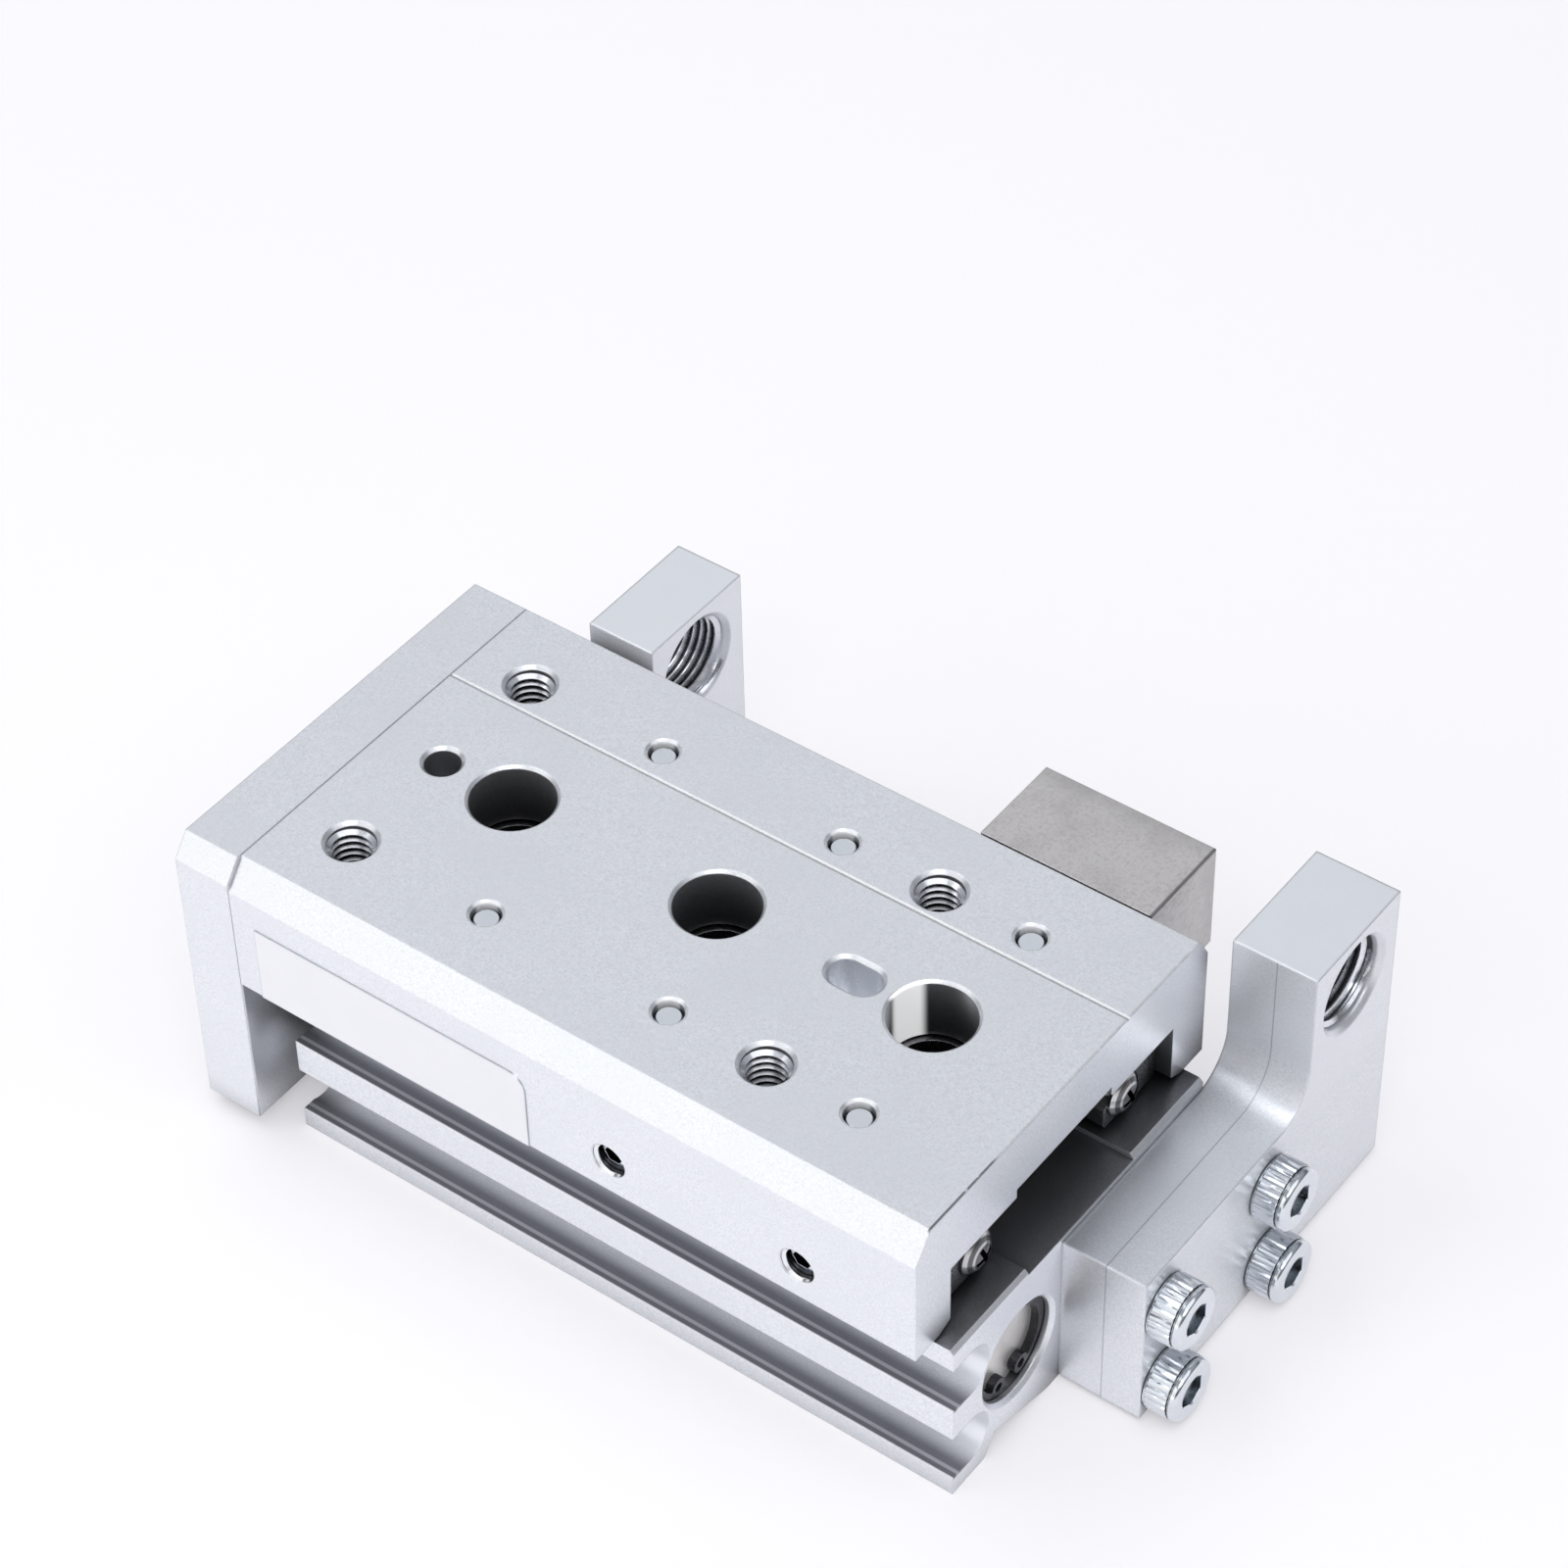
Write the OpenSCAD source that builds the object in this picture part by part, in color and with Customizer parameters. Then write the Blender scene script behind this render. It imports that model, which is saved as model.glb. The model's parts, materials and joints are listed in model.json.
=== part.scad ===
// Pneumatic slide table: twin-bore cylinder body, cross-roller guided table, 30 mm stroke,
// with an adjuster holder at each end. X runs along the stroke (the table extends towards -X),
// Y across it and Z up. The origin is the middle base-mounting hole on the body's bottom face.

/* [Stroke] */
// Travel of the table from the retracted position
stroke = 30; // [20:1:30]

/* [Table] */
// Length of the table
table_len = 65; // [64:0.5:66]
// Width of the table
table_w = 38; // [37.5:0.1:39]
// Height of the table's top face above the base
table_top = 29.5; // [29:0.1:30.5]
// Thickness of the table's deck
deck_t = 6.6; // [6.2:0.1:6.8]
// Thickness of the table's side legs
leg_t = 4.4; // [4:0.1:4.5]
// Height of the legs' lower edges above the base
leg_bottom = 16.8; // [16.8:0.1:17.4]
// Width of the chamfer along the table's near top edge
edge_w = 1.9; // [1:0.1:2.2]
// Depth of the chamfer along the table's near top edge
edge_d = 2.5; // [1:0.1:2.6]
// Width of the chamfers along the far top edges of the table and the end plate
far_edge_w = 1.2; // [0.8:0.1:1.6]
// Depth of the chamfers along the far top edges of the table and the end plate
far_edge_d = 2; // [1:0.1:2]
// Thickness of the end plate
end_plate_t = 5.4; // [5:0.1:6]

/* [Cylinder body] */
// Length of the cylinder body
body_len = 64; // [62:0.5:64.5]
// Width of the cylinder body
body_w = 33.2; // [33:0.1:34]
// Height of the cylinder body's ledges below the rails
body_top = 16.6; // [16.3:0.1:16.6]
// Diameter of the two cylinder bores
bore_d = 8; // [7.8:0.1:8]
// Distance between the two bores
bore_pitch = 16; // [15.6:0.1:16.4]
// Height of the bores' axes above the base
bore_z = 8.2; // [8:0.1:8.4]

/* [Guide] */
// Diameter of the crossed rollers
roller_d = 1.96; // [1.9:0.01:1.98]
// Distance between neighbouring rollers in a cage
roller_pitch = 3.5; // [3:0.1:3.5]
// Number of rollers in each cage
roller_count = 8; // [6:1:8]
// Length of the guide block
guide_len = 52; // [50:0.5:52]

/* [Holders] */
// Thickness of the rear adjuster holder
rear_holder_t = 7.5; // [7:0.1:9]
// Thickness of the front adjuster holder
front_holder_t = 6.4; // [6:0.1:6.6]
// Diameter of the adjuster threads
adjuster_d = 8; // [8:0.1:8.4]
// Height of the adjuster threads above the base
adjuster_z = 24; // [23.8:0.1:24.4]

/* [Hidden] */
$fn = 64;
// How far a cutter reaches past the face that it opens
past = 1;
// Play of a close fit, on the radius or on the length
fit = 0.04;

// Finishes
anodised = [0.78, 0.80, 0.84];
steel = [0.62, 0.62, 0.64];
zinc = [0.80, 0.82, 0.85];
nickel = [0.60, 0.58, 0.56];
black = [0.06, 0.06, 0.07];
rubber = [0.10, 0.10, 0.11];
brass = [0.72, 0.58, 0.33];
paper = [0.90, 0.91, 0.93];

// Places along the stroke, the table being retracted
table_x = -33;
body_x = -30.3;
body_end = body_x + body_len;
hole_pitch = 20;
mount_xs = [-hole_pitch, 0, hole_pitch];

// Table
half_w = table_w / 2;
deck_z = table_top - deck_t;
channel_half = half_w - leg_t;
relief_half = 6.25;
relief_depth = 0.9;
relief_z = deck_z + relief_depth;
leg_bevel_w = 1.4;
leg_bevel_h = 0.6;
mark_y = 8.2;
mark_w = 0.3;
mark_d = 0.15;
access_r = 3.5;
access_rim = 0.25;
rim = 0.15;
m4_r = 2;
m4_rim = 0.32;
m4_x = -27.1;
m4_dx = 40;
m4_dy = 22;
pin_r = 1.5;
pin_rim = 0.3;
pin_depth = 4;
slot_len = 4.6;
rail_screw_xs = [-13.7, 3.8, 21.3];
rail_screw_y = 11;
tip_hole_r = 1.25;
tip_rim = 0.22;
tip_below = 0.6;
set_screw_z = 20.05;
set_screw_inset = 0.8;
set_socket = [1.75, 1.4];

// Cross-roller guide
gap = 0.9;
guide_half = 6.5;
rail_half = guide_half + gap;
groove_z = 20;
groove_d = 1;
rail_bottom = 17.1;
rail_inset = 1.6;
rail_x = table_x + rail_inset;
rail_len = 62;
rail_outer_far = channel_half;
preload_gap = 0.3;
rail_outer_near = channel_half - preload_gap;
guide_x = -28;
guide_gap = 0.3;
guide_top = relief_z - guide_gap;
guide_bevel = 1.2;
seat_depth = 0.5;
seat_z = body_top - seat_depth;
roller_y = (guide_half + rail_half) / 2;
roller_len = 1.86;
cage_x = 0.3;
cage_t = 0.5;
cage_end = 0.4;
cage_len = roller_count * roller_pitch + 2 * cage_end;
cage_z = [17.7, 22.3];
cage_window = [roller_d + fit, 2.9];
guide_screw_xs = [-10, 10];
guide_screw_grip = 9.5;
guide_sink_z = guide_top - 3.3;
guide_access_r = 3.1;
rail_sink = 2.7;
rail_stop_y = 9.7;
rail_stop_z = 19.3;
rail_stop_len = 5;
rail_stop_grip = 4.5;
rail_stop_turn = 20;
pan_thread_r = 1;
pan_head_r = 1.9;
pan_head_h = 1.1;
pan_dome_r = 2.6;
pan_recess = [1.9, 0.45, 0.7];

// Cylinder
half_body = body_w / 2;
seat_half = 7;
ledge_edge = 0.35;
groove_r = 2.4;
groove_in = 2.3;
groove_lip = 0.25;
switch_zs = [4.1, 12];
foot_relief = [[-12.5, 0], [-11, 1.9], [-4, 0]];
bore_ys = [-bore_pitch / 2, bore_pitch / 2];
bore_r = bore_d / 2;
pocket_r = 4.5;
pocket_rim = 0.35;
front_pocket = 8;
rear_pocket = 5.1;
ring_groove_r = 4.75;
ring_groove_w = 0.75;
ring_t = 0.7;
base_hole_r = 1.65;
port_r = 2.5;
port_depth = 3.6;
passage_r = 0.6;
port_front_x = -17.2;
port_rear_x = 26.5;

// Covers and rings in the bores
cover_play = 0.03;
cover_r = pocket_r - cover_play;
o_ring_r = 0.35;
o_ring_mid = pocket_r - o_ring_r;
head_cover_x = body_end - rear_pocket;
head_cover_len = 3.6;
head_groove_at = 1.8;
rod_cover_end = body_x + front_pocket;
front_ring_inset = 0.65;
front_ring_x = body_x + front_ring_inset;
rod_cover_x = front_ring_x + ring_t;
rod_cover_len = rod_cover_end - rod_cover_x;
rod_groove_at = 4.2;
cover_groove_w = 1;
rear_ring_x = head_cover_x + head_cover_len;
bumper_len = 1.5;
front_bumper = [2.3, 3.3];
rear_bumper = [1, 3];
seal_len = 1.8;
seal_r = 3.2;

// Moving parts of the cylinder
rod_r = 2;
rod_neck_r = 1.5;
neck_lap = 1;
neck_end = 0.8;
magnet_gap = 0.15;
piston_end = 24.8;
piston_len = 11;
piston_x = piston_end - piston_len;
piston_play = 0.08;
piston_r = bore_r - piston_play;
piston_floor_r = 2.6;
piston_seal_at = [1.6, 3.4];
piston_magnet_at = [5, 8];

// Fasteners: [thread radius, head radius, head height, hexagon across corners]
thread_play = 0.05;
m3 = [1.5, 2.75, 3, 2.9];
m25 = [1.25, 2.25, 2.5, 2.3];
m3_tap = 1.5;
m3_clear = 1.7;
m3_sink = 2.95;
m25_tap = 1.25;
m25_clear = 1.4;
m25_sink = 2.35;
rod_screw = [1.25, 2.75, 3, 2.9];
rod_thread = 6;
tap_spare = 0.5;
guide_tap_z = guide_sink_z - guide_screw_grip - tap_spare;

// Holders
holder_y = [19.7, 31.5];
holder_base_y = -2.6;
holder_bottom = 0.3;
holder_top = 29.2;
holder_shelf = 15.6;
holder_fillet = 4;
adjuster_y = 25.5;
adjuster_rim = 0.45;
rear_x = body_end;
rear_screw_y = [0.1, 14.5];
rear_screw_z = [2.9, 11.3];
rear_thread = 5;
front_x = -28;
front_mid = front_x + front_holder_t / 2;
front_shelf = 15.4;
front_screw_z = [3.5, 12.9];
front_grip = 6;
front_thread = 4;

// Stopper block
stop_x = [11.1, 26.9];
stop_depth = 9;
stop_z = [18.2, 28.3];
stop_screw_x = [15, 23];
stop_screw_z = 24.6;
stop_grip = 5;
stop_thread = 5;

// End plate
plate_bottom = 1.3;
plate_x = table_x - end_plate_t;
plate_edge_w = 1.5;
plate_edge_d = 2;
plate_joint = 0.08;
plate_screw_ys = [-14.8, -5.2, 5.2, 14.8];
plate_screw_z = 25.8;
sink_depth = 3.2;
plate_screw_grip = 7;
plate_tap = 5;
plate_screws = concat([for (y = plate_screw_ys) [y, plate_screw_z]], [for (y = bore_ys) [y, bore_z]]);
work_y = 14.5;
work_z = [5.5, 19.5];
work_depth = 4.2;

// Label
label_x = [-30.7, -3.9];
label_z = [leg_bottom, 24.2];
label_t = 0.1;
label_r = 1.6;

// A cross-section drawn in Y and Z, extruded along X from x
module along_x(x, len) {
  translate([x, 0, 0]) rotate([90, 0, 90]) linear_extrude(len) children();
}

// A round hole or pin along X, Y or Z from its start point
module round_x(p, r, len) {
  translate(p) rotate([0, 90, 0]) cylinder(h = len, r = r);
}

module round_y(p, r, len) {
  translate(p) rotate([-90, 0, 0]) cylinder(h = len, r = r);
}

module round_z(p, r, len) {
  translate(p) cylinder(h = len, r = r);
}

// Countersunk rim w wide round a hole of radius r at the origin, opening towards +Z
module rim_cone(r, w) {
  translate([0, 0, -w]) cylinder(h = 2 * w, r1 = r, r2 = r + 2 * w);
}

// A socket-head cap screw: its seat is at the origin, its head towards +Z
module cap_screw(size, grip) {
  r = size[0] - thread_play;
  head_r = size[1];
  head_h = size[2];
  edge = 0.3;
  difference() {
    rotate_extrude()
      polygon([
        [0, -grip], [r - edge, -grip], [r, -grip + edge], [r, 0], [head_r - edge / 2, 0],
        [head_r, edge / 2], [head_r, head_h - edge], [head_r - edge, head_h], [0, head_h]
      ]);
    translate([0, 0, head_h / 2]) cylinder(h = head_h, d = size[3], $fn = 6);
  }
}

// ---- Cylinder body -----------------------------------------------------------------------

// Outline of the extrusion: a seat for the guide block between two ledges, relieved underside
module body_outline() {
  relief = foot_relief;
  polygon(concat(
    [[-half_body, 0]], relief, [for (i = [2:-1:0]) [-relief[i][0], relief[i][1]]],
    [[half_body, 0], [half_body, body_top], [seat_half, body_top], [seat_half, seat_z]],
    [[-seat_half, seat_z], [-seat_half, body_top], [-half_body, body_top]]
  ));
}

// A round switch groove with an open mouth on the near side and a small retaining lip below
module switch_groove(z) {
  mouth_w = groove_in + past;
  translate([-half_body + groove_in, z]) {
    circle(r = groove_r);
    translate([-mouth_w, groove_lip - groove_r]) square([mouth_w, 2 * groove_r - groove_lip]);
  }
}

// One bore with its front and rear pockets, ring grooves and bright rims
module bore_cut(y) {
  round_x([body_x - past, y, bore_z], bore_r, body_len + 2 * past);
  round_x([body_x - past, y, bore_z], pocket_r, front_pocket + past);
  round_x([body_end - rear_pocket, y, bore_z], pocket_r, rear_pocket + past);
  for (x = [front_ring_x, rear_ring_x]) round_x([x, y, bore_z], ring_groove_r, ring_groove_w);
  translate([body_end, y, bore_z]) rotate([0, 90, 0]) rim_cone(pocket_r, pocket_rim);
  translate([body_x, y, bore_z]) rotate([0, -90, 0]) rim_cone(pocket_r, pocket_rim);
}

// Chamfers along the rear ends of the two ledges
module ledge_chamfers() {
  reach = ledge_edge + past;
  len = half_body - seat_half + past;
  for (y = [half_body + past, -seat_half])
    translate([body_end, y, body_top]) rotate([90, 0, 0]) linear_extrude(len)
      polygon([[-reach, past], [past, -reach], [past, past]]);
}

// An air port on the far side and its passage through both bores
module port_cut(x) {
  round_y([x, half_body - port_depth, bore_z], port_r, port_depth + past);
  round_y([x, bore_ys[0], bore_z], passage_r, half_body - bore_ys[0]);
}

module cylinder_body() {
  color(anodised)
    difference() {
      along_x(body_x, body_len)
        difference() {
          body_outline();
          for (z = switch_zs) switch_groove(z);
        }
      ledge_chamfers();
      for (y = bore_ys) bore_cut(y);
      for (x = mount_xs) round_z([x, 0, -past], base_hole_r, body_top + 2 * past);
      for (x = [port_front_x, port_rear_x]) port_cut(x);
      for (x = guide_screw_xs) round_z([x, 0, guide_tap_z], m3_tap, body_top);
      for (y = rear_screw_y, z = rear_screw_z) {
        round_x([body_end - rear_thread - tap_spare, y, z], m3_tap, body_len);
      }
      for (z = front_screw_z) {
        round_y([front_mid, half_body - front_thread - tap_spare, z], m25_tap, body_w);
      }
    }
}

// ---- Guide -------------------------------------------------------------------------------

// The grooved block: a V along each side carries the crossed rollers
module guide_block() {
  through = guide_top - seat_z + 2 * past;
  color(steel)
    difference() {
      along_x(guide_x, guide_len)
        polygon([
          [-guide_half, seat_z], [guide_half, seat_z],
          [guide_half, groove_z - groove_d], [guide_half - groove_d, groove_z],
          [guide_half, groove_z + groove_d], [guide_half, guide_top - guide_bevel],
          [guide_half - guide_bevel, guide_top], [guide_bevel - guide_half, guide_top],
          [-guide_half, guide_top - guide_bevel], [-guide_half, groove_z + groove_d],
          [groove_d - guide_half, groove_z], [-guide_half, groove_z - groove_d]
        ]);
      for (x = mount_xs) round_z([x, 0, seat_z - past], guide_access_r, through);
      for (x = guide_screw_xs) {
        round_z([x, 0, seat_z - past], m3_clear, through);
        round_z([x, 0, guide_sink_z], m3_sink, through);
      }
    }
}

module guide_block_screws() {
  color(steel)
    for (x = guide_screw_xs) translate([x, 0, guide_sink_z]) cap_screw(m3, guide_screw_grip);
}

// A table rail on one side: s is -1 for the near side and 1 for the far side
module table_rail(s, outer) {
  edge = 0.3;
  difference() {
    along_x(rail_x, rail_len)
      polygon([
        [s * outer, rail_bottom + edge], [s * (outer - edge), rail_bottom],
        [s * (rail_half + edge), rail_bottom], [s * rail_half, rail_bottom + edge],
        [s * rail_half, groove_z - groove_d], [s * (rail_half + groove_d), groove_z],
        [s * rail_half, groove_z + groove_d], [s * rail_half, deck_z], [s * outer, deck_z]
      ]);
    for (x = rail_screw_xs) {
      round_z([x, s * rail_screw_y, rail_bottom - past], m25_clear, deck_z - rail_bottom + 2 * past);
      round_z([x, s * rail_screw_y, rail_bottom - past], m25_sink, rail_sink + past);
    }
    for (x = [rail_x - past, rail_x + rail_len - rail_stop_len]) {
      round_x([x, s * rail_stop_y, rail_stop_z], pan_thread_r, rail_stop_len + past);
    }
  }
}

module rail_near() {
  color(steel) table_rail(-1, rail_outer_near);
}

module rail_far() {
  color(steel) table_rail(1, rail_outer_far);
}

// Cap screws from below: their tips show in the deck's small holes
module rail_screws() {
  seat = rail_bottom + rail_sink;
  color(zinc)
    for (x = rail_screw_xs, s = [-1, 1])
      translate([x, s * rail_screw_y, seat]) mirror([0, 0, 1])
        cap_screw(m25, table_top - tip_below - seat);
}

// A pan-head screw with a cross recess, its head towards +Z. The recess is [length, width, depth].
module pan_screw(grip) {
  recess = pan_recess;
  difference() {
    union() {
      translate([0, 0, -grip]) cylinder(h = grip, r = pan_thread_r - thread_play);
      intersection() {
        cylinder(h = pan_head_h, r = pan_head_r);
        translate([0, 0, pan_head_h - pan_dome_r]) sphere(r = pan_dome_r);
      }
    }
    for (a = [0, 90])
      rotate([0, 0, a]) translate([-recess[0] / 2, -recess[1] / 2, pan_head_h - recess[2]])
        cube([recess[0], recess[1], recess[2] + past]);
  }
}

module rail_stop_screws() {
  color(zinc)
    for (s = [-1, 1]) {
      translate([rail_x + rail_len, s * rail_stop_y, rail_stop_z])
        rotate([0, 90, 0]) rotate([0, 0, rail_stop_turn]) pan_screw(rail_stop_grip);
      translate([rail_x, s * rail_stop_y, rail_stop_z])
        rotate([0, -90, 0]) pan_screw(rail_stop_grip);
    }
}

// Cage plate with one window for each roller
module roller_cage(s) {
  start = cage_x - cage_len / 2;
  mid_y = s * roller_y;
  difference() {
    translate([start, mid_y - cage_t / 2, cage_z[0]])
      cube([cage_len, cage_t, cage_z[1] - cage_z[0]]);
    for (i = [0:roller_count - 1])
      translate([roller_x(i) - cage_window[0] / 2, mid_y - past, groove_z - cage_window[1] / 2])
        cube([cage_window[0], 2 * past, cage_window[1]]);
  }
}

function roller_x(i) = cage_x + (i - (roller_count - 1) / 2) * roller_pitch;

// Rollers lie crosswise in the square channel, each turned 90 degrees from its neighbour
module rollers(s) {
  for (i = [0:roller_count - 1])
    translate([roller_x(i), s * roller_y, groove_z])
      rotate([i % 2 == 0 ? 45 : -45, 0, 0])
        cylinder(h = roller_len, d = roller_d, center = true);
}

module roller_cage_near() {
  color(brass) roller_cage(-1);
}

module roller_cage_far() {
  color(brass) roller_cage(1);
}

module rollers_near() {
  color(steel) rollers(-1);
}

module rollers_far() {
  color(steel) rollers(1);
}

// ---- Cylinder inner parts ----------------------------------------------------------------

// A turned cover along X from x, with a groove for its O-ring and an optional bore
module turned_cover(x, len, groove, inner) {
  floor_r = o_ring_mid - o_ring_r;
  groove_a = groove - cover_groove_w / 2;
  groove_b = groove + cover_groove_w / 2;
  for (y = bore_ys)
    translate([x, y, bore_z]) rotate([0, 90, 0]) rotate_extrude()
      polygon([
        [inner, 0], [cover_r, 0], [cover_r, groove_a], [floor_r, groove_a],
        [floor_r, groove_b], [cover_r, groove_b], [cover_r, len], [inner, len]
      ]);
}

// Rings of round section along X at x, one in each bore
module bore_rings(x, mid_r, section_r) {
  for (y = bore_ys)
    translate([x, y, bore_z]) rotate([0, 90, 0]) rotate_extrude()
      translate([mid_r, 0]) circle(r = section_r, $fn = 24);
}

// Plain tubes along X from x, one in each bore
module bore_tubes(x, len, inner, outer) {
  for (y = bore_ys)
    translate([x, y, bore_z]) rotate([0, 90, 0])
      difference() {
        cylinder(h = len, r = outer);
        translate([0, 0, -past]) cylinder(h = len + 2 * past, r = inner);
      }
}

module head_covers() {
  color(anodised) turned_cover(head_cover_x, head_cover_len, head_groove_at, 0);
}

module head_cover_o_rings() {
  color(rubber) bore_rings(head_cover_x + head_groove_at, o_ring_mid, o_ring_r);
}

module rod_covers() {
  color(brass)
    difference() {
      turned_cover(rod_cover_x, rod_cover_len, rod_groove_at, rod_r + fit);
      for (y = bore_ys) round_x([rod_cover_x - past, y, bore_z], seal_r, seal_len + past);
    }
}

module rod_cover_o_rings() {
  color(rubber) bore_rings(rod_cover_x + rod_groove_at, o_ring_mid, o_ring_r);
}

module rod_seals() {
  color(rubber) bore_tubes(rod_cover_x, seal_len, rod_r + fit, seal_r);
}

// Internal retaining ring: an eccentric arc with two eyes at its gap, which faces down.
// seam_turns keep the seams of the eyes and their holes clear of the arc's edges.
module retaining_ring() {
  groove_play = 0.05;
  outer = ring_groove_r - groove_play;
  inner = 3.75;
  shift = 0.2;
  eye_r = 0.85;
  eye_at = 3.6;
  eye_hole_r = 0.42;
  eye_turn = 24;
  gap_turn = 19;
  seam_turns = [70, 100];
  gap_half = outer * tan(gap_turn);
  difference() {
    union() {
      difference() {
        cylinder(h = ring_t, r = outer);
        translate([shift, 0, -past]) cylinder(h = ring_t + 2 * past, r = inner);
        translate([0, 0, -past]) linear_extrude(ring_t + 2 * past)
          polygon([[0, 0], [2 * outer, -2 * gap_half], [2 * outer, 2 * gap_half]]);
      }
      for (a = [-eye_turn, eye_turn])
        rotate([0, 0, a]) translate([eye_at, 0, 0]) rotate([0, 0, seam_turns[0]])
          cylinder(h = ring_t, r = eye_r);
    }
    for (a = [-eye_turn, eye_turn])
      rotate([0, 0, a]) translate([eye_at, 0, -past]) rotate([0, 0, seam_turns[1]])
        cylinder(h = ring_t + 2 * past, r = eye_hole_r);
  }
}

module retaining_rings() {
  color(black)
    for (y = bore_ys, x = [front_ring_x, rear_ring_x])
      translate([x, y, bore_z]) rotate([0, 90, 0]) retaining_ring();
}

// Rubber rings that cushion the pistons at both ends of their stroke
module front_bumpers() {
  color(rubber) bore_tubes(rod_cover_end, bumper_len, front_bumper[0], front_bumper[1]);
}

module rear_bumpers() {
  color(rubber) bore_tubes(head_cover_x - bumper_len, bumper_len, rear_bumper[0], rear_bumper[1]);
}

module piston_rods() {
  color(steel)
    for (y = bore_ys)
      difference() {
        union() {
          round_x([table_x, y, bore_z], rod_r, piston_x - table_x);
          round_x([piston_x - neck_lap, y, bore_z], rod_neck_r, neck_lap + piston_len - neck_end);
        }
        round_x([table_x - past, y, bore_z], rod_screw[0], rod_thread + past);
      }
}

// A piston with grooves for its seal and its magnet
module pistons() {
  groove_a = piston_seal_at;
  groove_b = piston_magnet_at;
  color(anodised)
    for (y = bore_ys)
      translate([piston_x, y, bore_z]) rotate([0, 90, 0]) rotate_extrude()
        polygon([
          [rod_neck_r, 0], [piston_r, 0], [piston_r, groove_a[0]], [piston_floor_r, groove_a[0]],
          [piston_floor_r, groove_a[1]], [piston_r, groove_a[1]], [piston_r, groove_b[0]],
          [piston_floor_r, groove_b[0]], [piston_floor_r, groove_b[1]], [piston_r, groove_b[1]],
          [piston_r, piston_len], [rod_neck_r, piston_len]
        ]);
}

module piston_seals() {
  len = piston_seal_at[1] - piston_seal_at[0];
  color(rubber) bore_tubes(piston_x + piston_seal_at[0], len, piston_floor_r, bore_r - fit);
}

module piston_magnets() {
  len = piston_magnet_at[1] - piston_magnet_at[0];
  color(black) bore_tubes(piston_x + piston_magnet_at[0], len, piston_floor_r, piston_r - magnet_gap);
}

// Screws that clamp the rods to the end plate
module rod_screws() {
  color(zinc)
    for (y = bore_ys)
      translate([plate_x + sink_depth, y, bore_z]) rotate([0, -90, 0])
        cap_screw(rod_screw, end_plate_t - sink_depth + rod_thread);
}

// ---- Table -------------------------------------------------------------------------------

// Outline of the table: chamfered top edges, reference mark, deck and two side legs
module table_outline() {
  leg = [
    [half_w, leg_bottom], [channel_half + leg_bevel_w, leg_bottom],
    [channel_half, leg_bottom + leg_bevel_h], [channel_half, deck_z],
    [relief_half, deck_z], [relief_half, relief_z]
  ];
  far_edge = [[half_w - far_edge_w, table_top], [half_w, table_top - far_edge_d]];
  near_leg = [for (i = [len(leg) - 1:-1:0]) [-leg[i][0], leg[i][1]]];
  near_edge = [[-half_w, table_top - edge_d], [edge_w - half_w, table_top]];
  mark = [
    [mark_y - mark_w / 2, table_top], [mark_y, table_top - mark_d], [mark_y + mark_w / 2, table_top]
  ];
  polygon(concat(far_edge, leg, near_leg, near_edge, mark));
}

// Slot along X with round ends and a countersunk rim
module slot_cut(x) {
  travel = slot_len / 2 - pin_r;
  rim_r = pin_r + pin_rim;
  translate([x, 0, table_top]) {
    for (s = [-1, 1]) {
      translate([s * travel, 0, -pin_depth]) cylinder(h = pin_depth + past, r = pin_r);
      translate([s * travel, 0, 0]) rim_cone(pin_r, pin_rim);
    }
    translate([-travel, -pin_r, -pin_depth]) cube([2 * travel, 2 * pin_r, pin_depth + past]);
    along_x(-travel, 2 * travel)
      polygon([
        [-pin_r, -pin_rim], [pin_r, -pin_rim], [rim_r, 0],
        [rim_r, past], [-rim_r, past], [-rim_r, 0]
      ]);
  }
}

// A hole down from the top face with a countersunk rim
module top_hole(x, y, r, depth, w) {
  round_z([x, y, table_top - depth], r, depth + past);
  translate([x, y, table_top]) rim_cone(r, w);
}

module table() {
  through = deck_t + past;
  color(anodised)
    difference() {
      along_x(table_x, table_len) table_outline();
      for (x = mount_xs) top_hole(x, 0, access_r, through, access_rim);
      for (x = [m4_x, m4_x + m4_dx], s = [-1, 1]) top_hole(x, s * m4_dy / 2, m4_r, through, m4_rim);
      for (x = rail_screw_xs) {
        for (s = [-1, 1]) top_hole(x, s * rail_screw_y, tip_hole_r, through, tip_rim);
        round_y([x, -half_w - past, set_screw_z], m3_tap, leg_t + 2 * past);
        translate([x, -half_w, set_screw_z]) rotate([90, 0, 0]) rim_cone(m3_tap, rim);
      }
      top_hole(m4_x, 0, pin_r, pin_depth, pin_rim);
      slot_cut(m4_x + m4_dx);
      for (y = plate_screw_ys) round_x([table_x - past, y, plate_screw_z], m3_tap, plate_tap + past);
      for (x = stop_screw_x) {
        round_y([x, half_w - stop_thread, stop_screw_z], m3_tap, stop_thread + past);
      }
    }
}

// Socket set screws through the near leg, which press the near rail against its rollers.
// Their sockets are [across corners, depth].
module preload_set_screws() {
  len = half_w - rail_outer_near - set_screw_inset;
  color(zinc)
    for (x = rail_screw_xs)
      translate([x, -half_w + set_screw_inset, set_screw_z]) rotate([-90, 0, 0])
        difference() {
          cylinder(h = len, r = m3[0] - thread_play);
          translate([0, 0, -past])
            cylinder(h = set_socket[1] + past, d = set_socket[0], $fn = 6);
        }
}

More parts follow.
